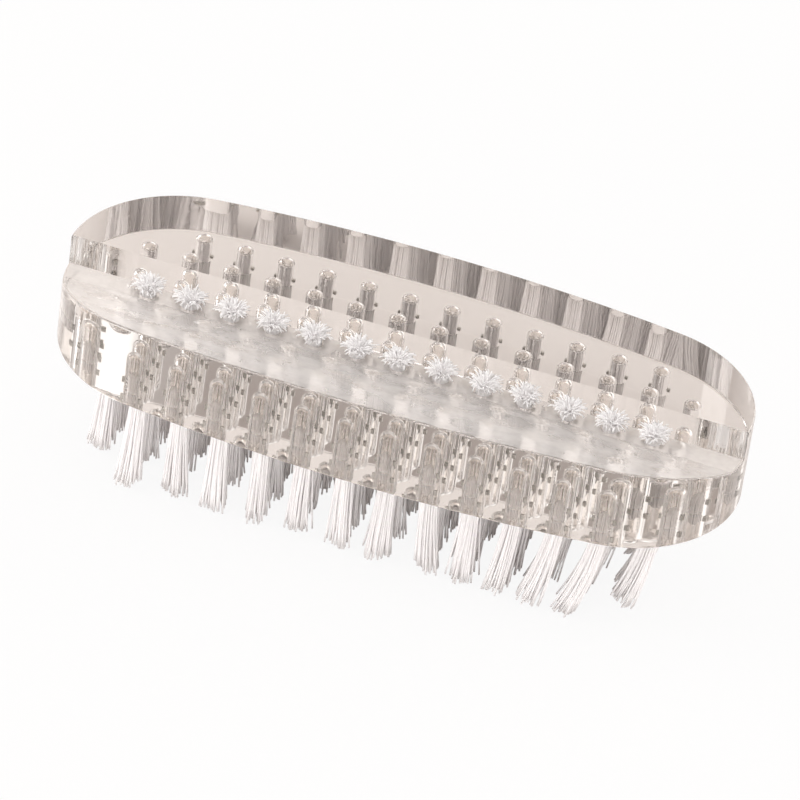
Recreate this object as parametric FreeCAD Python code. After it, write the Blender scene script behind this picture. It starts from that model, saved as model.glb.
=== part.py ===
"""Hand and nail brush: a clear acrylic grip block with nylon bristles on two sides.

The block is an oval prism. Its top has a level land at the rear, then a straight
upright riser down to a narrow channel, and from there a crowned slope up to the front
rim. Rows of long tufts hang from its flat underside and one row of short, mushroomed
tufts stands in the channel. Every tuft is doubled over a flat wire anchor in a blind
hole with a round end. The origin is the middle of the plane of the lower bristle tips,
+X runs along the block, +Y to its rear land and +Z to its channelled side.
"""
import FreeCAD, Part

import math
import os

# Driving dimensions in millimetres.
tuft_pitch = 6.0
row_pitch = 5.4
end_margin = 9.3
side_margin = 8.7
side_bow = 2.2
block_height = 12.8
edge_chamfer = 0.25
channel_depth = 4.5
channel_width = 3.5
channel_offset = 2.5
slope_crown = 0.37
front_rim_drop = 0.1
hole_radius = 1.2
front_hole_depth = 6.3
rear_hole_depth = 8.1
top_hole_depth = 3.2
fit_clearance = 0.05
bristle_length = 17.0
tip_radius = 1.7
fold_height = 2.6
fold_cover = 0.8
anchor_height = 0.8
anchor_thickness = 0.4
anchor_bite = 0.3
top_fold_depth = 2.4
top_neck = 0.3
top_tuft_height = 3.0
top_tuft_radius = 1.6
top_tuft_crown = 0.5

# How many tufts each lower row holds, from the front row to the rear row.
row_counts = (12, 14, 14, 14, 12)
top_count = 13

# Sizes that follow from the driving dimensions.
longest_row = max(row_counts)
half_length = (longest_row - 1) / 2 * tuft_pitch + end_margin
half_width = (len(row_counts) - 1) / 2 * row_pitch + side_margin
end_radius = half_width - side_bow
tuft_radius = hole_radius - fit_clearance
underside = bristle_length
top_face = underside + block_height
channel_floor = top_face - channel_depth
channel_row = -channel_offset
front_crease = channel_row - channel_width / 2
riser = channel_row + channel_width / 2
anchor_length = 2 * (hole_radius + anchor_bite)
up = FreeCAD.Vector(0, 0, 1)


def oval_wire(z):
    """Outline of the block: two end arcs joined by two flatter side arcs."""
    end_centre = half_length - end_radius
    side_radius = (end_centre ** 2 + half_width ** 2 - end_radius ** 2) / (2 * side_bow)
    join_angle = math.atan2(side_radius - half_width, end_centre)
    join_x = end_centre + end_radius * math.cos(join_angle)
    join_y = end_radius * math.sin(join_angle)

    def point(x, y):
        return FreeCAD.Vector(x, y, z)

    arcs = [
        Part.Arc(point(join_x, -join_y), point(half_length, 0), point(join_x, join_y)),
        Part.Arc(point(join_x, join_y), point(0, half_width), point(-join_x, join_y)),
        Part.Arc(point(-join_x, join_y), point(-half_length, 0), point(-join_x, -join_y)),
        Part.Arc(point(-join_x, -join_y), point(0, -half_width), point(join_x, -join_y)),
    ]
    return Part.Wire([arc.toShape() for arc in arcs])


def plain_block():
    """The oval prism with its lower edge eased."""
    prism = Part.Face(oval_wire(underside)).extrude(up * block_height)
    rim = [edge for edge in prism.Edges if max(vertex.Z for vertex in edge.Vertexes) < underside + 1e-6]
    return prism.makeChamfer(edge_chamfer, rim)


def front_slope():
    """Centre (y, z) and radius of the arc of the front slope, from its rim to its crease."""
    rim_y, rim_z = -half_width, top_face - front_rim_drop
    run, fall = front_crease - rim_y, rim_z - channel_floor
    chord = math.hypot(run, fall)
    radius = (chord ** 2 / 4 + slope_crown ** 2) / (2 * slope_crown)
    reach = radius - slope_crown
    middle_y, middle_z = (rim_y + front_crease) / 2, (rim_z + channel_floor) / 2
    return middle_y - reach * fall / chord, middle_z - reach * run / chord, radius


def channel_tool():
    """Long prism that takes away everything above the front slope and the channel floor."""
    centre_y, centre_z, radius = front_slope()
    reach = half_length + 1

    def slope_point(y):
        return FreeCAD.Vector(-reach, y, centre_z + math.sqrt(radius ** 2 - (y - centre_y) ** 2))

    start = slope_point(-half_width - 1)
    crease = FreeCAD.Vector(-reach, front_crease, channel_floor)
    foot = FreeCAD.Vector(-reach, riser, channel_floor)
    above_foot = FreeCAD.Vector(-reach, riser, top_face + 2)
    above_start = FreeCAD.Vector(-reach, start.y, top_face + 2)
    edges = [
        Part.Arc(start, slope_point((front_crease - half_width) / 2), crease).toShape(),
        Part.makeLine(crease, foot),
        Part.makeLine(foot, above_foot),
        Part.makeLine(above_foot, above_start),
        Part.makeLine(above_start, start),
    ]
    return Part.Face(Part.Wire(edges)).extrude(FreeCAD.Vector(2 * reach, 0, 0))


def revolved(profile, x, y):
    """Turn a closed profile of (radius, z) edges about the upright line at x, y."""
    solid = Part.Face(Part.Wire(profile)).revolve(FreeCAD.Vector(0, 0, 0), up, 360)
    solid.translate(FreeCAD.Vector(x, y, 0))
    return solid


def hole_tool(x, y, mouth, bottom):
    """Blind drilled hole from its mouth to a round bottom, run a little past the mouth."""
    inward = math.copysign(1, bottom - mouth)
    outside = mouth - inward
    shoulder = bottom - inward * hole_radius
    bulge = hole_radius * math.sqrt(0.5)
    axis_start = FreeCAD.Vector(0, 0, outside)
    rim = FreeCAD.Vector(hole_radius, 0, outside)
    wall_end = FreeCAD.Vector(hole_radius, 0, shoulder)
    arc_middle = FreeCAD.Vector(bulge, 0, shoulder + inward * bulge)
    apex = FreeCAD.Vector(0, 0, bottom)
    profile = [
        Part.makeLine(axis_start, rim),
        Part.makeLine(rim, wall_end),
        Part.Arc(wall_end, arc_middle, apex).toShape(),
        Part.makeLine(apex, axis_start),
    ]
    return revolved(profile, x, y)


def anchor(x, y, z):
    """Flat wire across the hole, its lower edge at z and both ends bitten into the acrylic."""
    corner = FreeCAD.Vector(x - anchor_length / 2, y - anchor_thickness / 2, z)
    return Part.makeBox(anchor_length, anchor_thickness, anchor_height, corner)


def polygon_edges(points):
    """Edges of a closed outline through (radius, z) points."""
    corners = [FreeCAD.Vector(radius, 0, z) for radius, z in points]
    return [Part.makeLine(a, b) for a, b in zip(corners, corners[1:] + corners[:1])]


def lower_tuft(x, y):
    """Doubled bristles in their hole, flaring from the underside to the tips."""
    fold = underside + fold_height
    points = [(0, 0), (tip_radius, 0), (tuft_radius, underside), (tuft_radius, fold), (0, fold)]
    return revolved(polygon_edges(points), x, y).cut(lower_anchor(x, y))


def lower_anchor(x, y):
    """Anchor under the fold of a lower tuft."""
    return anchor(x, y, underside + fold_height - fold_cover - anchor_height)


def top_tuft(x):
    """Short tuft in the channel, spread like a mushroom above its hole."""
    fold = channel_floor - top_fold_depth
    neck = channel_floor + top_neck
    crown = channel_floor + top_tuft_height
    points = [
        (0, fold),
        (tuft_radius, fold),
        (tuft_radius, neck),
        (top_tuft_radius, crown - top_tuft_crown),
        (top_tuft_radius - top_tuft_crown, crown),
        (0, crown),
    ]
    return revolved(polygon_edges(points), x, channel_row).cut(top_anchor(x))


def top_anchor(x):
    """Anchor over the fold of a top tuft."""
    return anchor(x, channel_row, channel_floor - top_fold_depth + fold_cover)


def centred(count):
    """Places of count tufts along the block, centred on it."""
    return [(index - (count - 1) / 2) * tuft_pitch for index in range(count)]


def lower_columns():
    """The places of the lower tufts, one list of (x, y) for each column across the block."""
    middle_row = (len(row_counts) - 1) / 2
    columns = []
    for x in centred(longest_row):
        column = []
        for row, count in enumerate(row_counts):
            if abs(x) <= (count - 1) / 2 * tuft_pitch + tuft_pitch / 4:
                column.append((x, (row - middle_row) * row_pitch))
        columns.append(column)
    return columns


def body():
    """The acrylic block with its channel, holes and anchor seats."""
    cuts = [channel_tool()]
    for column in lower_columns():
        for x, y in column:
            depth = rear_hole_depth if y > row_pitch / 2 else front_hole_depth
            cuts.append(hole_tool(x, y, underside, underside + depth))
            cuts.append(lower_anchor(x, y))
    for x in centred(top_count):
        cuts.append(hole_tool(x, channel_row, channel_floor, channel_floor - top_hole_depth))
        cuts.append(top_anchor(x))
    return plain_block().cut(cuts)


def save(name, solids):
    """Write one node as a STEP file of separate solids."""
    shape = solids[0] if len(solids) == 1 else Part.makeCompound(solids)
    if not shape.isValid():
        raise ValueError(name + " is not a valid shape")
    shape.exportStep(os.path.join("parts", name + ".step"))
    print(name, len(shape.Solids), round(shape.Volume, 3))


def main():
    """Build and write every node."""
    os.makedirs("parts", exist_ok=True)
    save("body", body().Solids)
    for number, column in enumerate(lower_columns(), start=1):
        save(f"lower_tufts_{number:02d}", [lower_tuft(x, y) for x, y in column])
        save(f"lower_anchors_{number:02d}", [lower_anchor(x, y) for x, y in column])
    for number, x in enumerate(centred(top_count), start=1):
        save(f"top_tuft_{number:02d}", [top_tuft(x)])
        save(f"top_anchor_{number:02d}", [top_anchor(x)])


main()
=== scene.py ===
"""Finished look of a clear acrylic hand and nail brush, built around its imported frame.

The grip block is one closed surface: an oval wall with eased rims, a flat underside and
a top made of a level rear land, an upright riser, a narrow channel and a crowned front
slope. Round-ended bores pierce the underside and the channel. Each tuft is a bundle of
nylon strands doubled over a flat wire anchor inside its bore. Lengths are in metres, +X
runs along the block, +Y to its rear land and +Z to its channelled side.
"""
from __future__ import annotations

import logging
import math
from dataclasses import dataclass, field
from enum import Enum
from typing import Any, Sequence

import bmesh
import bpy
import numpy as np
from mathutils import Matrix, Vector
from mathutils.geometry import delaunay_2d_cdt

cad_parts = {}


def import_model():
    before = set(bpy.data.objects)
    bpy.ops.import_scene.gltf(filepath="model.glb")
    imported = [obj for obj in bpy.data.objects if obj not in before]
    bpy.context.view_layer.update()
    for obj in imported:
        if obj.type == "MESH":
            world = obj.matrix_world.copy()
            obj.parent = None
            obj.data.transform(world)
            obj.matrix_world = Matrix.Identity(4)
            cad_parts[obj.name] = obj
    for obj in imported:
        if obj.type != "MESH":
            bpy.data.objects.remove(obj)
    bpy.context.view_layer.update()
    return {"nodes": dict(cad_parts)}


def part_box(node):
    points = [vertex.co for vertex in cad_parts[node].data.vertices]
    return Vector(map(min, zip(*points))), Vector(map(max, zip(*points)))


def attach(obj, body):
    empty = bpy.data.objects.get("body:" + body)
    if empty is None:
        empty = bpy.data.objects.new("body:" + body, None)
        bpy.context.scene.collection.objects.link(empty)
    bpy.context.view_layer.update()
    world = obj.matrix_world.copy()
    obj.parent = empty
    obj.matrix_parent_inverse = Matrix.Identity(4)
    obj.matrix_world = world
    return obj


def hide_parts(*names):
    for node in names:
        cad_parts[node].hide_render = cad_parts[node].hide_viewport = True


Colour = tuple[float, float, float, float]

LOG = logging.getLogger("hand_brush")
MM = 0.001
UP = np.array([0.0, 0.0, 1.0])
GOLDEN_ANGLE = math.pi * (3 - math.sqrt(5))
SIDE_BOW = 2.2 * MM
LOWER_ROWS = 5
WELD_DISTANCE = 1e-6
ROUNDING_SLACK = 1e-9


class Side(Enum):
    """Which way a bore opens."""

    UNDERSIDE = -1
    TOP = 1


class Skin(Enum):
    """Finish of a part of the block's surface, by its material slot."""

    POLISHED = 0
    DRILLED = 1
    HAZED = 2


# ---------------------------------------------------------------- finishes


class Graph:
    """Adds and joins the nodes of one material or world."""

    def __init__(self, tree: bpy.types.NodeTree) -> None:
        """Keep the tree that the nodes go into."""
        self.tree = tree

    def add(self, kind: str, settings: dict[str, Any] | None = None, **inputs: Any) -> bpy.types.Node:
        """Add a node.

        Args:
            kind: Blender's node type name.
            settings: Properties of the node itself, such as its operation.
            **inputs: Socket values or source sockets, with underscores for spaces.

        Returns:
            The new node.
        """
        node = self.tree.nodes.new(kind)
        for name, value in (settings or {}).items():
            setattr(node, name, value)
        for name, value in inputs.items():
            self.feed(node.inputs[name.replace("_", " ")], value)
        return node

    def feed(self, socket: bpy.types.NodeSocket, value: Any) -> None:
        """Set a socket to a value, or join it to another node's output."""
        if isinstance(value, bpy.types.NodeSocket):
            self.tree.links.new(value, socket)
        else:
            socket.default_value = value

    def mix_colour(self, factor: Any, low: Any, high: Any) -> bpy.types.NodeSocket:
        """Blend two colours.

        Args:
            factor: Share of the second colour, from 0 to 1.
            low: Colour where the factor is 0.
            high: Colour where the factor is 1.

        Returns:
            The blended colour's socket.
        """
        node = self.add("ShaderNodeMix", {"data_type": "RGBA"})
        self.feed(node.inputs[0], factor)
        self.feed(node.inputs[6], low)
        self.feed(node.inputs[7], high)
        return node.outputs[2]

    def remap(self, value: Any, low: float, high: float, start: float, end: float) -> bpy.types.NodeSocket:
        """Map a value that goes from low to high onto start to end, held at both ends."""
        node = self.add("ShaderNodeMapRange", From_Min=low, From_Max=high, To_Min=start, To_Max=end)
        self.feed(node.inputs["Value"], value)
        return node.outputs["Result"]

    def product(self, first: Any, second: Any) -> bpy.types.NodeSocket:
        """Multiply two values."""
        node = self.add("ShaderNodeMath", {"operation": "MULTIPLY"})
        self.feed(node.inputs[0], first)
        self.feed(node.inputs[1], second)
        return node.outputs["Value"]

    def noise(self, place: Any, scale: float, detail: float) -> bpy.types.NodeSocket:
        """Cloudy value from 0 to 1 at a place."""
        return self.add("ShaderNodeTexNoise", Vector=place, Scale=scale, Detail=detail).outputs["Fac"]

    def bump(self, shader: bpy.types.Node, height: Any, strength: float, distance: float) -> None:
        """Tilt a shader's normal by a height."""
        node = self.add("ShaderNodeBump", Strength=strength, Distance=distance, Height=height)
        self.feed(shader.inputs["Normal"], node.outputs["Normal"])


@dataclass(frozen=True)
class Finish:
    """What every surface finish of the brush has."""

    name: str

    def material(self) -> bpy.types.Material:
        """Make the finish's material."""
        material = bpy.data.materials.new(self.name)
        material.use_nodes = True
        graph = Graph(material.node_tree)
        self.dress(graph, material.node_tree.nodes["Principled BSDF"])
        return material

    def dress(self, graph: Graph, shader: bpy.types.Node) -> None:
        """Set the shader's sockets and add the finish's nodes."""
        raise NotImplementedError

    def place(self, graph: Graph, stretch: tuple[float, float, float]) -> bpy.types.NodeSocket:
        """Object coordinates, stretched along each axis."""
        where = graph.add("ShaderNodeTexCoord")
        node = graph.add("ShaderNodeMapping", Vector=where.outputs["Object"], Scale=stretch)
        return node.outputs["Vector"]


@dataclass(frozen=True)
class ClearAcrylic(Finish):
    """Cast acrylic with a faint warm tint, handling scratches and a slow waviness."""

    tint: Colour = (0.90, 0.865, 0.835, 1.0)
    tint_deep: Colour = (0.86, 0.82, 0.785, 1.0)
    refraction: float = 1.49
    roughness: float = 0.012
    scuffed_roughness: float = 0.05
    scratch_depth: float = 0.02
    scratch_share: float = 0.25

    def clear(self, graph: Graph, shader: bpy.types.Node, scale: float) -> bpy.types.NodeSocket:
        """Let the light through, with a tint that varies in clouds.

        Args:
            graph: The material's nodes.
            shader: Its surface shader.
            scale: How fine the clouds are.

        Returns:
            The clouds' socket, from 0 to 1.
        """
        shader.inputs["Transmission Weight"].default_value = 1.0
        shader.inputs["IOR"].default_value = self.refraction
        cloud = graph.noise(self.place(graph, (1, 1, 1)), scale, 2.0)
        graph.feed(shader.inputs["Base Color"], graph.mix_colour(cloud, self.tint, self.tint_deep))
        return cloud

    def dress(self, graph: Graph, shader: bpy.types.Node) -> None:
        """Transmission with long fine scratches along the block."""
        self.clear(graph, shader, 90.0)
        grain = graph.noise(self.place(graph, (0.06, 1.4, 1.2)), 1700.0, 3.0)
        scratch = graph.remap(grain, 0.62, 0.74, 0.0, 1.0)
        rough = graph.remap(scratch, 0.0, 1.0, self.roughness, self.scuffed_roughness)
        graph.feed(shader.inputs["Roughness"], rough)
        height = graph.add("ShaderNodeMath", {"operation": "MULTIPLY_ADD"})
        graph.feed(height.inputs[0], scratch)
        graph.feed(height.inputs[1], self.scratch_share)
        graph.feed(height.inputs[2], graph.noise(self.place(graph, (1, 1, 1)), 220.0, 1.0))
        graph.bump(shader, height.outputs["Value"], self.scratch_depth, 0.4 * MM)


@dataclass(frozen=True)
class DrilledAcrylic(ClearAcrylic):
    """Bore walls: the same acrylic, a little rougher, with the drill's rings."""

    smoothest: float = 0.02
    roughest: float = 0.06
    ring_depth: float = 0.06
    ring_scale: float = 500.0

    def dress(self, graph: Graph, shader: bpy.types.Node) -> None:
        """Transmission with fine rings up the bore."""
        cloud = self.clear(graph, shader, 900.0)
        graph.feed(shader.inputs["Roughness"], graph.remap(cloud, 0.3, 0.7, self.smoothest, self.roughest))
        place = self.place(graph, (1, 1, 1))
        rings = graph.add("ShaderNodeTexWave", {"bands_direction": "Z"}, Vector=place, Scale=self.ring_scale)
        graph.feed(rings.inputs["Distortion"], 3.0)
        graph.bump(shader, rings.outputs["Fac"], self.ring_depth, 0.2 * MM)


@dataclass(frozen=True)
class HazedAcrylic(ClearAcrylic):
    """The sawn front slope: the same acrylic under a thin milky haze with faint specks."""

    clearest: float = 0.74
    haziest: float = 0.56
    smoothest: float = 0.05
    roughest: float = 0.24
    speck_depth: float = 0.12

    def dress(self, graph: Graph, shader: bpy.types.Node) -> None:
        """Transmission that a cloudy haze weakens and blurs, with specks in the bump."""
        shader.inputs["IOR"].default_value = self.refraction
        shader.inputs["Base Color"].default_value = self.tint
        haze = graph.noise(self.place(graph, (1, 1, 1)), 260.0, 4.0)
        veil = graph.remap(haze, 0.35, 0.65, self.clearest, self.haziest)
        graph.feed(shader.inputs["Transmission Weight"], veil)
        rough = graph.remap(haze, 0.35, 0.65, self.smoothest, self.roughest)
        graph.feed(shader.inputs["Roughness"], rough)
        speck = graph.noise(self.place(graph, (0.3, 1, 1)), 1900.0, 2.0)
        graph.bump(shader, graph.remap(speck, 0.6, 0.72, 0.0, 1.0), self.speck_depth, 0.2 * MM)


@dataclass(frozen=True)
class NylonStrand(Finish):
    """White nylon, its shade uneven from strand to strand."""

    pale: Colour = (0.98, 0.965, 0.965, 1.0)
    shaded: Colour = (0.955, 0.94, 0.94, 1.0)
    refraction: float = 1.53
    smoothest: float = 0.24
    roughest: float = 0.42

    def dress(self, graph: Graph, shader: bpy.types.Node) -> None:
        """Base colour from the strand's own tone, and long streaks in the roughness."""
        tone = graph.add("ShaderNodeAttribute", {"attribute_name": "strand_tone"})
        graph.feed(shader.inputs["Base Color"], graph.mix_colour(tone.outputs["Fac"], self.pale, self.shaded))
        shader.inputs["IOR"].default_value = self.refraction
        streak = graph.noise(self.place(graph, (6, 6, 0.5)), 900.0, 2.0)
        graph.feed(shader.inputs["Roughness"], graph.remap(streak, 0.35, 0.65, self.smoothest, self.roughest))


@dataclass(frozen=True)
class DrawnWire(Finish):
    """Flat drawn steel wire with streaks along its length."""

    bright: Colour = (0.62, 0.6, 0.56, 1.0)
    dull: Colour = (0.34, 0.32, 0.3, 1.0)
    smoothest: float = 0.25
    roughest: float = 0.45
    streak_depth: float = 0.3

    def dress(self, graph: Graph, shader: bpy.types.Node) -> None:
        """Metal with long streaks in colour and roughness."""
        shader.inputs["Metallic"].default_value = 1.0
        streak = graph.noise(self.place(graph, (0.3, 8, 8)), 1500.0, 3.0)
        graph.feed(shader.inputs["Base Color"], graph.mix_colour(streak, self.bright, self.dull))
        graph.feed(shader.inputs["Roughness"], graph.remap(streak, 0.3, 0.7, self.smoothest, self.roughest))
        graph.bump(shader, streak, self.streak_depth, 0.05 * MM)


# ---------------------------------------------------------------- meshes


@dataclass
class Patch:
    """Part of a surface.

    Attributes:
        points: Positions, one row each.
        faces: Index arrays, one for each number of corners.
        normals: Outward directions, one for each corner of the faces in order.
        skin: Which finish it takes.
    """

    points: np.ndarray
    faces: Sequence[np.ndarray]
    normals: np.ndarray
    skin: Skin = Skin.POLISHED


def mesh_object(name: str, points: np.ndarray, faces: Sequence[np.ndarray]) -> bpy.types.Object:
    """Make a smooth mesh object at the origin.

    Args:
        name: The piece's name.
        points: Positions, one row each.
        faces: Index arrays of shape (faces, corners).

    Returns:
        The linked object.
    """
    corners = np.concatenate([block.ravel() for block in faces]).astype(np.int32)
    sizes = np.concatenate([np.full(len(block), block.shape[1]) for block in faces])
    starts = np.concatenate([[0], np.cumsum(sizes)[:-1]]).astype(np.int32)
    mesh = bpy.data.meshes.new(name)
    mesh.vertices.add(len(points))
    mesh.vertices.foreach_set("co", points.astype(np.float32).ravel())
    mesh.loops.add(len(corners))
    mesh.loops.foreach_set("vertex_index", corners)
    mesh.polygons.add(len(starts))
    mesh.polygons.foreach_set("loop_start", starts)
    mesh.update(calc_edges=True)
    mesh.shade_smooth()
    piece = bpy.data.objects.new(name, mesh)
    bpy.context.scene.collection.objects.link(piece)
    return piece


def grid_faces(rows: int, columns: int, closed: bool) -> np.ndarray:
    """Quads between neighbouring points of a grid numbered row by row.

    Args:
        rows: Rows of points.
        columns: Points in each row.
        closed: Whether the last column joins the first.

    Returns:
        Corner indices, four to a face.
    """
    row = np.arange(rows - 1)[:, None] * columns
    here = np.arange(columns if closed else columns - 1)[None, :]
    after = (here + 1) % columns
    below = row + columns
    return np.stack([row + here, row + after, below + after, below + here], axis=-1).reshape(-1, 4)


def weld(name: str, patches: Sequence[Patch]) -> bpy.types.Object:
    """Join patches edge to edge into one closed mesh that keeps each patch's own normals.

    Args:
        name: The piece's name.
        patches: The surface's parts, whose edges meet point for point.

    Returns:
        The closed object, with each skin in its own material slot.
    """
    counts = np.cumsum([0] + [len(patch.points) for patch in patches])
    faces = [block + start for patch, start in zip(patches, counts) for block in patch.faces]
    piece = mesh_object(name, np.concatenate([patch.points for patch in patches]), faces)
    mesh = piece.data
    slots = [np.full(sum(len(block) for block in patch.faces), patch.skin.value) for patch in patches]
    mesh.polygons.foreach_set("material_index", np.concatenate(slots).astype(np.int32))
    outward = mesh.attributes.new("outward", "FLOAT_VECTOR", "CORNER")
    outward.data.foreach_set("vector", np.concatenate([patch.normals for patch in patches]).ravel())
    joined = bmesh.new()
    joined.from_mesh(mesh)
    bmesh.ops.remove_doubles(joined, verts=joined.verts, dist=WELD_DISTANCE)
    bmesh.ops.recalc_face_normals(joined, faces=joined.faces)
    open_edges = sum(1 for edge in joined.edges if not edge.is_manifold)
    joined.to_mesh(mesh)
    joined.free()
    if open_edges:
        LOG.warning("%s has %d open edges", name, open_edges)
    kept = np.empty(len(mesh.loops) * 3, np.float32)
    mesh.attributes["outward"].data.foreach_get("vector", kept)
    mesh.attributes.remove(mesh.attributes["outward"])
    mesh.normals_split_custom_set(kept.reshape(-1, 3).tolist())
    return piece


# ---------------------------------------------------------------- grip block


@dataclass
class Oval:
    """Plan of the block: end arcs and longer, flatter side arcs that meet without a corner.

    A point on the plan is the centre of its arc plus the arc's radius along the outward
    direction, so one outward angle names one point.
    """

    half_length: float
    half_width: float
    side_bow: float
    end_radius: float = field(init=False)
    side_radius: float = field(init=False)
    turn: float = field(init=False)

    def __post_init__(self) -> None:
        """Work out the arcs from the tangency of the end and side circles."""
        self.end_radius = self.half_width - self.side_bow
        reach = self.half_length - self.end_radius
        self.side_radius = (reach**2 + self.half_width**2 - self.end_radius**2) / (2 * self.side_bow)
        self.turn = math.atan2(self.side_radius - self.half_width, reach)

    def points(self, angles: np.ndarray, inset: float) -> np.ndarray:
        """Plan points for outward angles, moved inwards by an inset.

        Args:
            angles: Outward directions in radians.
            inset: Distance in from the outline.

        Returns:
            Positions of shape (angles, 2).
        """
        out = np.stack([np.cos(angles), np.sin(angles)], axis=-1)
        on_end = np.arctan2(np.abs(out[:, 1]), np.abs(out[:, 0])) <= self.turn + ROUNDING_SLACK
        radius = np.where(on_end, self.end_radius, self.side_radius)
        centre_x = np.where(on_end, self.half_length - self.end_radius, 0.0) * np.sign(out[:, 0])
        centre_y = np.where(on_end, 0.0, self.half_width - self.side_radius) * np.sign(out[:, 1])
        return np.stack([centre_x, centre_y], axis=-1) + out * (radius - inset)[:, None]

    def crossing(self, y: float, inset: float) -> float:
        """Outward angle, in front of the right end, at which the inset outline passes y."""
        return math.asin(-y / (self.end_radius - inset))

    def run(self, stops: Sequence[float], step: float) -> np.ndarray:
        """Outward angles from the first stop to the last, both included.

        Args:
            stops: Rising angles, with every join of two arcs among them.
            step: Longest distance between neighbouring points.

        Returns:
            The angles.
        """
        parts = []
        for start, end in zip(stops[:-1], stops[1:]):
            on_end = abs(math.sin((start + end) / 2)) < math.sin(self.turn)
            radius = self.end_radius if on_end else self.side_radius
            parts.append(np.linspace(start, end, math.ceil((end - start) * radius / step) + 1)[:-1])
        return np.concatenate(parts + [[stops[-1]]])

    def depth(self, spots: np.ndarray) -> np.ndarray:
        """How far points lie inside the plan, measured to the arc beside each.

        Args:
            spots: Plan positions.

        Returns:
            Distances, negative outside.
        """
        across = np.abs(spots)
        end = self.end_radius - np.hypot(across[:, 0] - (self.half_length - self.end_radius), across[:, 1])
        side = self.side_radius - np.hypot(across[:, 0], across[:, 1] + self.side_radius - self.half_width)
        beyond = np.arctan2(across[:, 1], across[:, 0] - (self.half_length - self.end_radius)) < self.turn
        return np.where(beyond & (across[:, 0] > self.half_length - self.end_radius), end, side)


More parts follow.
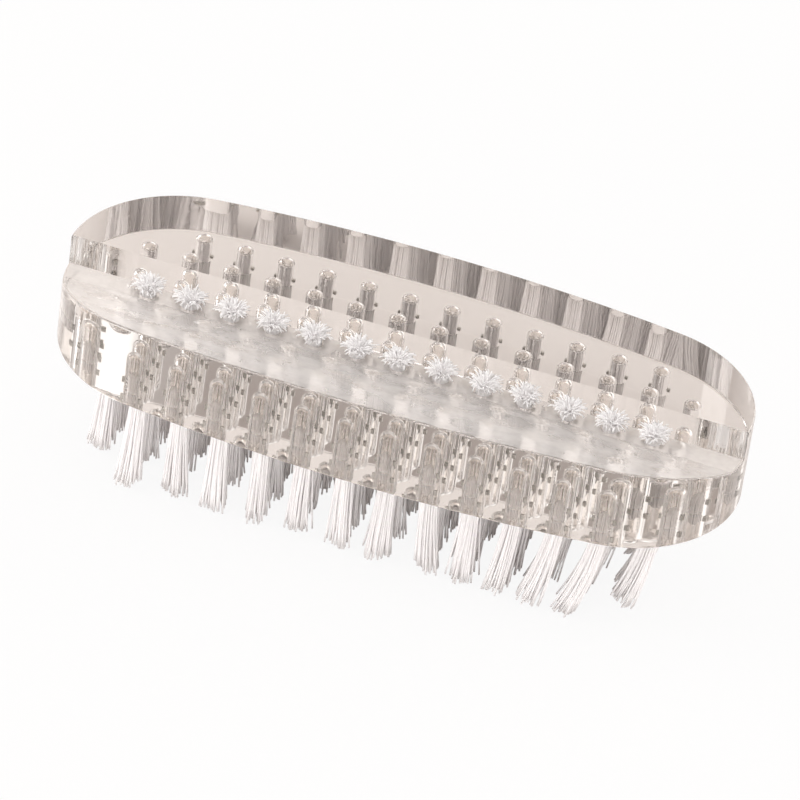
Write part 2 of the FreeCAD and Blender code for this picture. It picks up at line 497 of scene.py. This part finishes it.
@dataclass
class GripBlock:
    """The clear block: eased oval wall, land, riser, channel, front slope and all bores.

    Attributes:
        plan: Its outline from above.
        underside: Height of the flat underside.
        top: Height of the rear land.
        lower_sites: Plan positions of the bores in the underside.
        top_sites: Plan positions of the bores in the channel.
    """

    plan: Oval
    underside: float
    top: float
    lower_sites: np.ndarray
    top_sites: np.ndarray
    ease: float = 0.25 * MM
    ease_steps: int = 4
    channel_depth: float = 4.5 * MM
    channel_width: float = 3.5 * MM
    slope_crown: float = 0.37 * MM
    front_rim_drop: float = 0.1 * MM
    bore_radius: float = 1.2 * MM
    front_bore_depth: float = 6.3 * MM
    rear_bore_depth: float = 8.1 * MM
    top_bore_depth: float = 3.2 * MM
    bore_sides: int = 32
    dome_steps: int = 7
    slope_step: float = 0.8 * MM
    outline_step: float = 0.7 * MM
    floor: float = field(init=False)
    crease: float = field(init=False)
    riser: float = field(init=False)
    slope_centre: tuple[float, float] = field(init=False)
    slope_radius: float = field(init=False)

    def __post_init__(self) -> None:
        """Work out the channel's edges and the circle of the front slope.

        The circle's radius is (chord^2 / 4 + crown^2) / (2 crown), and its centre lies
        radius less crown below the middle of the chord from the front rim to the crease.
        """
        row = float(self.top_sites[0, 1])
        self.floor = self.top - self.channel_depth
        self.crease = row - self.channel_width / 2
        self.riser = row + self.channel_width / 2
        rim_y, rim_z = -self.plan.half_width, self.top - self.front_rim_drop
        run, fall = self.crease - rim_y, rim_z - self.floor
        chord = math.hypot(run, fall)
        self.slope_radius = (chord**2 / 4 + self.slope_crown**2) / (2 * self.slope_crown)
        reach = self.slope_radius - self.slope_crown
        middle = ((rim_y + self.crease) / 2, (rim_z + self.floor) / 2)
        self.slope_centre = (middle[0] - reach * fall / chord, middle[1] - reach * run / chord)

    def height(self, y: np.ndarray, land: np.ndarray) -> np.ndarray:
        """Height of the top: level on the land and in the channel, a circular arc in front."""
        slope = self.slope_centre[1] + np.sqrt(self.slope_radius**2 - (y - self.slope_centre[0]) ** 2)
        return np.where(land, self.top, np.where(y < self.crease, slope, self.floor))

    def top_normal(self, y: np.ndarray, sloped: np.ndarray) -> np.ndarray:
        """Outward direction of the top, away from the slope's axis where it is sloped."""
        tilt = np.where(sloped, (y - self.slope_centre[0]) / self.slope_radius, 0.0)
        return np.stack([np.zeros_like(tilt), tilt, np.sqrt(1 - tilt**2)], axis=-1)

    def outline(self) -> tuple[np.ndarray, np.ndarray]:
        """Outward angles round the block, first beside the land and then beside the rest.

        Returns:
            The angles, and whether each belongs to the land. The angle where the riser
            meets the wall is there twice, once for each side.
        """
        riser = self.plan.crossing(self.riser, self.ease)
        crease = self.plan.crossing(self.crease, self.ease)
        turn, half, full = self.plan.turn, math.pi, 2 * math.pi
        land = self.plan.run([-riser, turn, half - turn, half + riser], self.outline_step)
        stops = [half + riser, half + crease, half + turn, full - turn, full - crease, full - riser]
        front = self.plan.run(stops, self.outline_step)
        return np.concatenate([land, front]), np.arange(len(land) + len(front)) < len(land)

    def wall(self, angles: np.ndarray, land: np.ndarray) -> Patch:
        """The upright wall with a quarter-round ease along both rims.

        Each row is the plan drawn in by e(1 - sin a) and raised from its rim by
        e(1 - cos a), for an ease angle a from 0 at the face to a right angle at the wall.
        One more row runs level at the height of the channel's ease.

        Args:
            angles: Outward directions round the block.
            land: Whether each belongs to the land.

        Returns:
            The wall from the underside's rim to the top's rim.
        """
        turns = np.linspace(0.0, math.pi / 2, self.ease_steps + 1)
        out = np.column_stack([np.cos(angles), np.sin(angles), np.zeros_like(angles)])
        rows, normals = [], []
        for turn in turns:
            ring = self.plan.points(angles, self.ease * (1 - math.sin(turn)))
            level = np.full(len(ring), self.underside + self.ease * (1 - math.cos(turn)))
            rows.append(np.column_stack([ring, level]))
            normals.append(out * math.sin(turn) - UP * math.cos(turn))
        level = np.full(len(angles), self.floor - self.ease)
        rows.append(np.column_stack([self.plan.points(angles, 0.0), level]))
        normals.append(out)
        inner_y = self.plan.points(angles, self.ease)[:, 1]
        sloped = ~land & (inner_y < self.crease - ROUNDING_SLACK)
        for turn in turns[::-1]:
            ring = self.plan.points(angles, self.ease * (1 - math.sin(turn)))
            level = self.height(inner_y, land) - self.ease * (1 - math.cos(turn))
            rows.append(np.column_stack([ring, level]))
            normals.append(out * math.sin(turn) + self.top_normal(inner_y, sloped) * math.cos(turn))
        faces = grid_faces(len(rows), len(angles), closed=True)
        return Patch(np.concatenate(rows), [faces], np.concatenate(normals)[faces.ravel()])

    def mouths(self, sites: np.ndarray) -> np.ndarray:
        """Rim points of the bores at these sites, shape (sites, sides, 2)."""
        angle = np.arange(self.bore_sides) * 2 * math.pi / self.bore_sides
        circle = np.stack([np.cos(angle), np.sin(angle)], axis=-1) * self.bore_radius
        return sites[:, None, :] + circle[None, :, :]

    def sheet(
        self, ring: np.ndarray, sites: np.ndarray, inner: np.ndarray, creases: Sequence[np.ndarray]
    ) -> tuple[np.ndarray, np.ndarray]:
        """Triangles that fill the plan ring around the bore mouths.

        Args:
            ring: The rim of the sheet.
            sites: Bore positions.
            inner: Further points inside the sheet.
            creases: Pairs of indices into ring that must be joined by an edge.

        Returns:
            Plan points and triangle corner indices.
        """
        rims = self.mouths(sites).reshape(-1, 2)
        spots = np.concatenate([ring, rims, inner])
        around = np.arange(len(ring))
        edges = [np.column_stack([around, np.roll(around, -1)])]
        rim_index = np.arange(len(rims)).reshape(-1, self.bore_sides)
        edges.append(np.column_stack([rim_index.ravel(), np.roll(rim_index, -1, axis=1).ravel()]) + len(ring))
        edges += [pair[None, :] for pair in creases]
        flat = [Vector(spot) for spot in (spots / MM).tolist()]
        inside_only, merge_distance = 1, 1e-5
        found = delaunay_2d_cdt(
            flat, np.concatenate(edges).tolist(), [around.tolist()], inside_only, merge_distance
        )
        plan = np.array([tuple(spot) for spot in found[0]]) * MM
        triangles = np.array([tuple(face) for face in found[2]])
        if len(sites):
            middle = plan[triangles].mean(axis=1)
            nearest = np.sqrt(((middle[:, None, :] - sites[None, :, :]) ** 2).sum(axis=-1)).min(axis=1)
            triangles = triangles[nearest > self.bore_radius * 0.993]
        return plan, triangles

    def underside_face(self, ring: np.ndarray) -> Patch:
        """The flat underside around the lower bores."""
        plan, triangles = self.sheet(ring, self.lower_sites, np.empty((0, 2)), [])
        points = np.column_stack([plan, np.full(len(plan), self.underside)])
        return Patch(points, [triangles], np.tile(-UP, (triangles.size, 1)))

    def riser_line(self) -> np.ndarray:
        """Plan points along the riser, from its left end to its right end."""
        angle = self.plan.crossing(self.riser, self.ease)
        end = float(self.plan.points(np.array([-angle]), self.ease)[0, 0])
        along = np.linspace(-end, end, 2 * math.ceil(end / self.outline_step) + 1)
        return np.column_stack([along, np.full(len(along), self.riser)])

    def riser_face(self) -> Patch:
        """The upright face between the channel and the land."""
        line = self.riser_line()
        low = np.column_stack([line, np.full(len(line), self.floor)])
        high = np.column_stack([line, np.full(len(line), self.top)])
        faces = grid_faces(2, len(line), closed=False)
        return Patch(np.concatenate([low, high]), [faces], np.tile([0.0, -1.0, 0.0], (faces.size, 1)))

    def land_face(self, ring: np.ndarray) -> Patch:
        """The level land behind the riser."""
        none = np.empty((0, 2))
        plan, triangles = self.sheet(np.concatenate([ring, self.riser_line()[1:-1]]), none, none, [])
        points = np.column_stack([plan, np.full(len(plan), self.top)])
        return Patch(points, [triangles], np.tile(UP, (triangles.size, 1)))

    def front_face(self, ring: np.ndarray) -> Patch:
        """The channel floor around the top bores and the crowned slope, with a sharp crease.

        Args:
            ring: Rim points beside the channel and the slope.

        Returns:
            The surface, in the hazed finish.
        """
        rim = np.concatenate([ring, self.riser_line()[-2:0:-1]])
        across = np.arange(-self.plan.half_width, self.crease - self.slope_step / 2, self.slope_step)
        along = np.arange(-self.plan.half_length, self.plan.half_length, 2 * self.slope_step)
        inner = np.stack(np.meshgrid(along, across), axis=-1).reshape(-1, 2)
        inner = inner[self.plan.depth(inner) > 3 * self.ease]
        ends = np.argsort(np.abs(rim[:, 1] - self.crease))[:2]
        plan, triangles = self.sheet(rim, self.top_sites, inner, [ends])
        sloped = plan[triangles].mean(axis=1)[:, 1] < self.crease
        points = np.column_stack([plan, self.height(plan[:, 1], np.zeros(len(plan), bool))])
        normals = self.top_normal(plan[triangles.ravel(), 1], np.repeat(sloped, 3))
        return Patch(points, [triangles], normals, Skin.HAZED)

    def bores(self, sites: np.ndarray, side: Side, mouth: float, bottoms: np.ndarray) -> Patch:
        """Walls and round ends of the bores on one side.

        A point is its site plus r cos a outwards and its shoulder plus r sin a inwards,
        where a is 0 along the straight wall and grows to a right angle at the apex.

        Args:
            sites: Plan positions of the bores.
            side: Which way they open.
            mouth: Height of their mouths.
            bottoms: Height of each bore's apex.

        Returns:
            The bores' walls, in the drilled finish.
        """
        inward = -side.value
        rim = self.mouths(sites)
        radial = (rim - sites[:, None, :]) / self.bore_radius
        shoulder = (bottoms - inward * self.bore_radius)[:, None]
        rows = [np.dstack([rim, np.full(rim.shape[:2], mouth)])]
        normals = [np.dstack([-radial, np.zeros(rim.shape[:2])])]
        for turn in np.arange(self.dome_steps) / self.dome_steps * math.pi / 2:
            spots = sites[:, None, :] + radial * (self.bore_radius * math.cos(turn))
            level = np.broadcast_to(shoulder + inward * self.bore_radius * math.sin(turn), rim.shape[:2])
            rows.append(np.dstack([spots, level]))
            tilt = np.full(rim.shape[:2], -inward * math.sin(turn))
            normals.append(np.dstack([-radial * math.cos(turn), tilt]))
        count, rings, sides = len(sites), len(rows), self.bore_sides
        points = np.stack(rows, axis=1).reshape(-1, 3)
        directions = np.stack(normals, axis=1).reshape(-1, 3)
        apex = np.column_stack([sites, bottoms])
        start = np.arange(count)[:, None, None] * rings * sides
        quads = (start + grid_faces(rings, sides, closed=True)[None]).reshape(-1, 4)
        last = np.arange(sides) + (rings - 1) * sides
        fan = np.stack([last, np.roll(last, -1)], axis=-1)[None] + start
        tip = np.broadcast_to((len(points) + np.arange(count))[:, None, None], (count, sides, 1))
        caps = np.concatenate([fan, tip], axis=-1).reshape(-1, 3)
        directions = np.concatenate([directions, np.tile(-inward * UP, (count, 1))])
        corner_normals = np.concatenate([directions[quads.ravel()], directions[caps.ravel()]])
        return Patch(np.concatenate([points, apex]), [quads, caps], corner_normals, Skin.DRILLED)

    def build(self) -> bpy.types.Object:
        """Make the whole block as one closed piece."""
        angles, land = self.outline()
        ring = self.plan.points(angles, self.ease)
        behind_middle = self.lower_sites[:, 1] > self.bore_radius
        lower_ends = self.underside + np.where(behind_middle, self.rear_bore_depth, self.front_bore_depth)
        top_ends = np.full(len(self.top_sites), self.floor - self.top_bore_depth)
        lone = np.flatnonzero(land)[:-1].tolist() + np.flatnonzero(~land)[:-1].tolist()
        patches = [
            self.wall(angles, land),
            self.underside_face(ring[lone]),
            self.land_face(ring[land]),
            self.riser_face(),
            self.front_face(ring[~land]),
            self.bores(self.lower_sites, Side.UNDERSIDE, self.underside, lower_ends),
            self.bores(self.top_sites, Side.TOP, self.floor, top_ends),
        ]
        block = weld("grip_block", patches)
        finishes = {
            Skin.POLISHED: ClearAcrylic("clear_acrylic"),
            Skin.DRILLED: DrilledAcrylic("drilled_acrylic"),
            Skin.HAZED: HazedAcrylic("hazed_acrylic"),
        }
        for skin in Skin:
            block.data.materials.append(finishes[skin].material())
        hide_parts("body")
        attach(block, "root")
        return block


# ---------------------------------------------------------------- tufts


def sunflower(count: int, radius: float) -> np.ndarray:
    """Evenly packed points in a disc.

    The kth of n points is turned by k golden angles, at the radius times sqrt((k + 0.5) / n).

    Args:
        count: Number of points.
        radius: Radius of the disc.

    Returns:
        Positions of shape (count, 2).
    """
    order = np.arange(count)
    angle = order * GOLDEN_ANGLE
    reach = radius * np.sqrt((order + 0.5) / count)
    return np.column_stack([reach * np.cos(angle), reach * np.sin(angle)])


def strand_piece(
    name: str, paths: np.ndarray, radius: float, sides: int, tones: np.ndarray
) -> bpy.types.Object:
    """Make round strands along paths, as one piece.

    A ring point is its path point plus the radius times cos a across and sin a up, where
    across is square to the path and to the X axis.

    Args:
        name: The piece's name.
        paths: Path points of shape (strands, points, 3).
        radius: Strand radius.
        sides: Faces round a strand.
        tones: Shade of each strand, from 0 pale to 1 shaded.

    Returns:
        The piece, with each strand's tone on its points.
    """
    strands, length = paths.shape[:2]
    tangent = np.gradient(paths, axis=1)
    tangent /= np.linalg.norm(tangent, axis=-1, keepdims=True)
    across = np.cross(tangent, [1.0, 0.0, 0.0])
    across /= np.linalg.norm(across, axis=-1, keepdims=True)
    level = np.cross(tangent, across)
    angle = np.arange(sides) * 2 * math.pi / sides
    around = np.cos(angle)[:, None] * across[:, :, None, :] + np.sin(angle)[:, None] * level[:, :, None, :]
    points = (paths[:, :, None, :] + radius * around).reshape(-1, 3)
    start = (np.arange(strands) * length * sides)[:, None, None]
    walls = (start + grid_faces(length, sides, closed=True)[None]).reshape(-1, 4)
    first = np.arange(sides)[None, ::-1] + start[:, 0]
    last = np.arange(sides)[None, :] + (length - 1) * sides + start[:, 0]
    piece = mesh_object(name, points, [walls, np.concatenate([first, last])])
    tone = piece.data.attributes.new("strand_tone", "FLOAT", "POINT")
    tone.data.foreach_set("value", np.repeat(tones, length * sides).astype(np.float32))
    return piece


@dataclass
class LowerTufts:
    """Long tufts under the block, each strand doubled over its anchor."""

    underside: float
    strands: int = 26
    strand_radius: float = 0.13 * MM
    sides: int = 5
    bundle_radius: float = 1.02 * MM
    fold_level: float = 1.5 * MM
    inner_gap: float = 0.42 * MM
    flare: float = 0.62
    wander: float = 0.32 * MM
    uneven: float = 1.1 * MM
    tip_slant: float = 0.25
    lean: float = 3.4 * MM
    lean_noise: float = 0.35 * MM
    lean_from: float = 6.0 * MM
    lean_to: float = 40.0 * MM
    leg_points: int = 9
    fold_points: int = 7

    def leg(
        self, rng: np.random.Generator, start: np.ndarray, site: np.ndarray, lean: np.ndarray
    ) -> np.ndarray:
        """Path of each strand's leg from its bore mouth to its tip.

        The share s runs from 0 at the mouth to 1 at the tip. A leg spreads by its place
        in the bundle times flare s^1.3, wanders by s^2 and leans by s^1.8.

        Args:
            rng: Source of the random draws.
            start: Each leg's place in the bundle.
            site: The bore's plan position.
            lean: How far the whole tuft leans at its tips.

        Returns:
            Path points of shape (strands, points, 3).
        """
        share = np.linspace(0.0, 1.0, self.leg_points)[None, :, None]
        drift = rng.normal(0.0, self.wander, (len(start), 1, 2))
        spread = start[:, None, :] * (1 + self.flare * share**1.3)
        spots = site + spread + drift * share**2 + lean * share**1.8
        slant = rng.normal(0.0, self.tip_slant, 2)
        tips = np.abs(rng.uniform(0.0, self.uneven, len(start)) + start @ slant) + self.strand_radius
        level = self.underside + (tips[:, None] - self.underside) * share[:, :, 0]
        return np.concatenate([spots, level[:, :, None]], axis=-1)

    def tuft(self, rng: np.random.Generator, site: np.ndarray) -> np.ndarray:
        """Paths of one tuft's strands, tip to tip, over the anchor that lies along X.

        Args:
            rng: Source of the random draws.
            site: The bore's plan position.

        Returns:
            Path points of shape (strands, points, 3).
        """
        bundle = sunflower(self.strands, self.bundle_radius)
        apart = np.maximum(np.abs(bundle[:, 1]), self.inner_gap)
        ramp = np.clip((site[0] - self.lean_from) / (self.lean_to - self.lean_from), 0.0, 1.0)
        inwards = np.array([-self.lean * ramp * ramp * (3 - 2 * ramp), 0.0])
        lean = rng.normal(0.0, self.lean_noise, 2) + inwards
        near = self.leg(rng, np.column_stack([bundle[:, 0], apart]), site, lean)
        far = self.leg(rng, np.column_stack([bundle[:, 0], -apart]), site, lean)
        turn = np.linspace(0.0, math.pi, self.fold_points)[None, :]
        fold = np.stack(
            [
                np.broadcast_to(site[0] + bundle[:, :1], (self.strands, self.fold_points)),
                site[1] + apart[:, None] * np.cos(turn),
                self.underside + self.fold_level + apart[:, None] * np.sin(turn),
            ],
            axis=-1,
        )
        return np.concatenate([near[:, ::-1], fold, far], axis=1)

    def build(self, node: str, sites: np.ndarray, finish: bpy.types.Material, seed: int) -> bpy.types.Object:
        """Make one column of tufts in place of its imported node.

        Args:
            node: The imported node.
            sites: Plan positions of the column's bores.
            finish: The strands' material.
            seed: Seed of the column's own random draws.

        Returns:
            The strands of the column, as one piece.
        """
        rng = np.random.default_rng(seed)
        paths = np.concatenate([self.tuft(rng, site) for site in sites])
        tones = rng.uniform(0.0, 1.0, len(paths))
        piece = strand_piece(node + "_strands", paths, self.strand_radius, self.sides, tones)
        piece.data.materials.append(finish)
        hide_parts(node)
        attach(piece, "root")
        return piece


@dataclass
class TopTufts:
    """Short tufts in the channel, spread like a mushroom by use and held back by the riser."""

    channel_floor: float
    riser: float
    strands: int = 90
    strand_radius: float = 0.08 * MM
    sides: int = 5
    bundle_radius: float = 1.02 * MM
    fold_level: float = 1.1 * MM
    inner_gap: float = 0.35 * MM
    height: float = 2.9 * MM
    splay: float = 112.0
    curl: float = 1.4
    tilt_noise: float = 0.4
    turn_noise: float = 0.8
    shortest: float = 0.6
    longest: float = 1.05
    lean_noise: float = 0.12 * MM
    clearance: float = 0.15 * MM
    leg_points: int = 8
    fold_points: int = 7

    def leg(self, rng: np.random.Generator, start: np.ndarray, site: np.ndarray) -> np.ndarray:
        """Path of each leg above the mouth.

        The tilt from upright is the end tilt times s^curl, for the share s of the leg. The
        end tilt is larger for strands further out. Steps along the tilted direction are
        added up, and no point passes the riser.

        Args:
            rng: Source of the random draws.
            start: Each leg's place in the bundle.
            site: The bore's plan position.

        Returns:
            Path points of shape (strands, points, 3).
        """
        count = len(start)
        share = (np.arange(self.leg_points - 1) + 0.5) / (self.leg_points - 1)
        out = np.linalg.norm(start, axis=1) / self.bundle_radius
        end_tilt = np.radians(self.splay) * out + rng.normal(0.0, self.tilt_noise, count)
        tilt = end_tilt[:, None] * share[None, :] ** self.curl
        heading = np.arctan2(start[:, 1], start[:, 0]) + rng.normal(0.0, self.turn_noise, count)
        step = rng.uniform(self.shortest, self.longest, count)[:, None] * self.height / len(share)
        aside = np.cumsum(np.sin(tilt) * step, axis=1)
        rise = np.cumsum(np.cos(tilt) * step, axis=1)
        outwards = np.stack([np.cos(heading), np.sin(heading)], axis=-1)
        spots = start[:, None, :] + aside[:, :, None] * outwards[:, None, :]
        above = np.concatenate([spots + site, (self.channel_floor + rise)[:, :, None]], axis=-1)
        above[:, :, 1] = np.minimum(above[:, :, 1], self.riser - self.clearance)
        mouth = np.concatenate([start + site, np.full((count, 1), self.channel_floor)], axis=1)
        return np.concatenate([mouth[:, None, :], above], axis=1)

    def build(
        self, node: str, site: np.ndarray, fold: float, finish: bpy.types.Material, seed: int
    ) -> bpy.types.Object:
        """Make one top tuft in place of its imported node.

        Args:
            node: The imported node.
            site: Its bore's plan position.
            fold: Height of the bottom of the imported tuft.
            finish: The strands' material.
            seed: Seed of the tuft's own random draws.

        Returns:
            The strands of the tuft, as one piece.
        """
        rng = np.random.default_rng(seed)
        bundle = sunflower(self.strands, self.bundle_radius)
        apart = np.maximum(np.abs(bundle[:, 1]), self.inner_gap)
        lean = rng.normal(0.0, self.lean_noise, 2)
        near = self.leg(rng, np.column_stack([bundle[:, 0], apart]), site + lean)
        far = self.leg(rng, np.column_stack([bundle[:, 0], -apart]), site + lean)
        turn = np.linspace(0.0, math.pi, self.fold_points)[None, :]
        loop = np.stack(
            [
                np.broadcast_to(site[0] + bundle[:, :1], (self.strands, self.fold_points)),
                site[1] + apart[:, None] * np.cos(turn),
                fold + self.fold_level - apart[:, None] * np.sin(turn),
            ],
            axis=-1,
        )
        paths = np.concatenate([near[:, ::-1], loop, far], axis=1)
        tones = rng.uniform(0.0, 0.8, len(paths))
        piece = strand_piece(node + "_strands", paths, self.strand_radius, self.sides, tones)
        piece.data.materials.append(finish)
        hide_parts(node)
        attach(piece, "root")
        return piece


# ---------------------------------------------------------------- studio


@dataclass
class Studio:
    """Pale floor, soft lamps, world and camera."""

    focus: Vector
    azimuth: float = 14.23
    elevation: float = 35.25
    roll: float = 8.10
    distance: float = 0.812
    lens: float = 270.0
    shift: tuple[float, float] = (0.0034, 0.0085)
    floor_reach: float = 3.0
    floor_colour: Colour = (0.78, 0.745, 0.725, 1.0)
    floor_glow: float = 0.9
    room: Colour = (0.80, 0.775, 0.765, 1.0)
    window: Colour = (1.35, 1.32, 1.3, 1.0)
    wall: Colour = (0.40, 0.35, 0.325, 1.0)

    def floor(self) -> None:
        """A wide pale floor that stays white to the eye and keeps a soft shadow."""
        square = np.array([[-1.0, -1.0, 0.0], [1.0, -1.0, 0.0], [1.0, 1.0, 0.0], [-1.0, 1.0, 0.0]])
        floor = mesh_object("studio_floor", square * self.floor_reach, [np.array([[0, 1, 2, 3]])])
        material = bpy.data.materials.new("pale_floor")
        material.use_nodes = True
        graph = Graph(material.node_tree)
        shader = material.node_tree.nodes["Principled BSDF"]
        shader.inputs["Base Color"].default_value = self.floor_colour
        shader.inputs["Roughness"].default_value = 0.9
        glow = graph.add("ShaderNodeEmission", Color=(1.0, 1.0, 1.0, 1.0), Strength=1.0)
        rays = graph.add("ShaderNodeLightPath")
        share = graph.remap(rays.outputs["Is Camera Ray"], 0.0, 1.0, 0.0, self.floor_glow)
        mix = graph.add("ShaderNodeMixShader")
        graph.feed(mix.inputs[0], share)
        graph.feed(mix.inputs[1], shader.outputs["BSDF"])
        graph.feed(mix.inputs[2], glow.outputs["Emission"])
        graph.feed(material.node_tree.nodes["Material Output"].inputs["Surface"], mix.outputs["Shader"])
        floor.data.materials.append(material)

    def world(self) -> None:
        """Bright room with a window and a strip of warm dark wall behind, by direction.

        Behind and low, the strip lies left of the middle and the window right of it.
        """
        world = bpy.data.worlds.new("studio_room")
        bpy.context.scene.world = world
        world.use_nodes = True
        graph = Graph(world.node_tree)
        where = graph.add("ShaderNodeTexCoord")
        axes = graph.add("ShaderNodeSeparateXYZ", Vector=where.outputs["Generated"])
        behind = graph.remap(axes.outputs["Y"], -0.25, 0.3, 0.0, 1.0)
        low = graph.remap(axes.outputs["Z"], 0.7, 0.92, 1.0, 0.0)
        band = graph.product(behind, low)
        from_left = graph.remap(axes.outputs["X"], -0.7, -0.35, 0.0, 1.0)
        to_middle = graph.remap(axes.outputs["X"], -0.12, -0.02, 1.0, 0.0)
        strip = graph.product(band, graph.product(from_left, to_middle))
        pane = graph.product(band, graph.remap(axes.outputs["X"], -0.02, 0.06, 0.0, 1.0))
        colour = graph.mix_colour(strip, graph.mix_colour(pane, self.room, self.window), self.wall)
        rays = graph.add("ShaderNodeLightPath")
        seen = graph.mix_colour(rays.outputs["Is Camera Ray"], colour, (1.0, 1.0, 1.0, 1.0))
        graph.feed(world.node_tree.nodes["Background"].inputs["Color"], seen)

    def lamp(self, name: str, place: Vector, size: tuple[float, float], power: float) -> None:
        """Add a soft box that faces the brush.

        Args:
            name: The lamp's name.
            place: Where it stands.
            size: Its width and height.
            power: Its power in watts.
        """
        light = bpy.data.lights.new(name, "AREA")
        light.shape = "RECTANGLE"
        light.size, light.size_y = size
        light.energy = power
        lamp = bpy.data.objects.new(name, light)
        facing = (place - self.focus).to_track_quat("Z", "Y").to_matrix().to_4x4()
        lamp.matrix_world = Matrix.Translation(place) @ facing
        bpy.context.scene.collection.objects.link(lamp)

    def camera(self) -> None:
        """A long lens turned about the brush, with a slight roll."""
        turn, tilt, roll = (math.radians(a) for a in (self.azimuth, self.elevation, self.roll))
        away = Vector((math.sin(turn) * math.cos(tilt), -math.cos(turn) * math.cos(tilt), math.sin(tilt)))
        right = Vector((math.cos(turn), math.sin(turn), 0.0))
        up = away.cross(right)
        right, up = right * math.cos(roll) + up * math.sin(roll), up * math.cos(roll) - right * math.sin(roll)
        place = Matrix((right, up, away)).transposed().to_4x4()
        place.translation = self.focus + away * self.distance
        data = bpy.data.cameras.new("camera")
        data.lens = self.lens
        data.shift_x, data.shift_y = self.shift
        data.clip_end = 20.0
        camera = bpy.data.objects.new("camera", data)
        camera.matrix_world = place
        bpy.context.scene.collection.objects.link(camera)
        bpy.context.scene.camera = camera

    def build(self) -> None:
        """Set up everything around the brush."""
        scene = bpy.context.scene
        scene.view_settings.view_transform = "Standard"
        scene.cycles.max_bounces = 28
        scene.cycles.transmission_bounces = 24
        scene.cycles.glossy_bounces = 12
        scene.cycles.diffuse_bounces = 10
        self.floor()
        self.world()
        self.lamp("overhead_box", Vector((-0.15, -0.1, 1.0)), (1.0, 1.0), 3.0)
        self.lamp("left_box", Vector((-0.9, -0.25, 0.4)), (0.5, 0.7), 3.0)
        self.lamp("front_box", Vector((0.1, -1.1, 0.16)), (1.6, 0.5), 6.5)
        self.lamp("rear_box", Vector((0.2, 1.1, 0.12)), (1.6, 0.4), 1.5)
        self.camera()


# ---------------------------------------------------------------- brush


def corners(node: str) -> tuple[np.ndarray, np.ndarray]:
    """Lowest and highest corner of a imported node."""
    low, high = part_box(node)
    return np.array(low), np.array(high)


def numbered(prefix: str, nodes: dict[str, Any]) -> list[str]:
    """Names of the nodes that start with a prefix, in order."""
    return sorted(name for name in nodes if name.startswith(prefix))


def column_sites(node: str, row_pitch: float) -> np.ndarray:
    """Plan positions of the tufts in one column node.

    Args:
        node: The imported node.
        row_pitch: Distance between neighbouring rows.

    Returns:
        Positions of shape (tufts, 2), from the front row to the rear row.
    """
    low, high = corners(node)
    tip_radius = (high[0] - low[0]) / 2
    reach = (high[1] - low[1]) / 2 - tip_radius
    rows = np.arange(-round(reach / row_pitch), round(reach / row_pitch) + 1)
    return np.column_stack([np.full(len(rows), (low[0] + high[0]) / 2), rows * row_pitch])


def main() -> None:
    """Build every piece around the frame and report each one."""
    logging.basicConfig(level=logging.INFO, format="%(message)s")
    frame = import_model()
    nodes = frame["nodes"]
    lower_nodes = numbered("lower_tufts_", nodes)
    top_nodes = numbered("top_tuft_", nodes)
    low, high = corners(lower_nodes[len(lower_nodes) // 2])
    row_pitch = ((high[1] - low[1]) - (high[0] - low[0])) / (LOWER_ROWS - 1)
    lower_sites = [column_sites(node, row_pitch) for node in lower_nodes]
    top_sites = np.array([(np.add(*corners(node)) / 2)[:2] for node in top_nodes])
    block_low, block_high = corners("body")
    plan = Oval(block_high[0], block_high[1], SIDE_BOW)
    block = GripBlock(plan, block_low[2], block_high[2], np.concatenate(lower_sites), top_sites)
    LOG.info("%s: %d faces", block.build().name, len(bpy.data.meshes["grip_block"].polygons))
    nylon = NylonStrand("nylon_strand").material()
    lower = LowerTufts(block.underside)
    for seed, (node, sites) in enumerate(zip(lower_nodes, lower_sites), start=100):
        LOG.info("%s: %d tufts", lower.build(node, sites, nylon, seed).name, len(sites))
    top = TopTufts(block.floor, block.riser)
    for seed, (node, site) in enumerate(zip(top_nodes, top_sites), start=300):
        LOG.info("%s", top.build(node, site, corners(node)[0][2], nylon, seed).name)
    wire = DrawnWire("drawn_wire").material()
    for node in numbered("lower_anchors_", nodes) + numbered("top_anchor_", nodes):
        for slot in nodes[node].material_slots:
            slot.material = wire
        LOG.info("%s: drawn wire", node)
    Studio(Vector((0.0, 0.0, block.underside))).build()


if __name__ == "__main__":
    main()
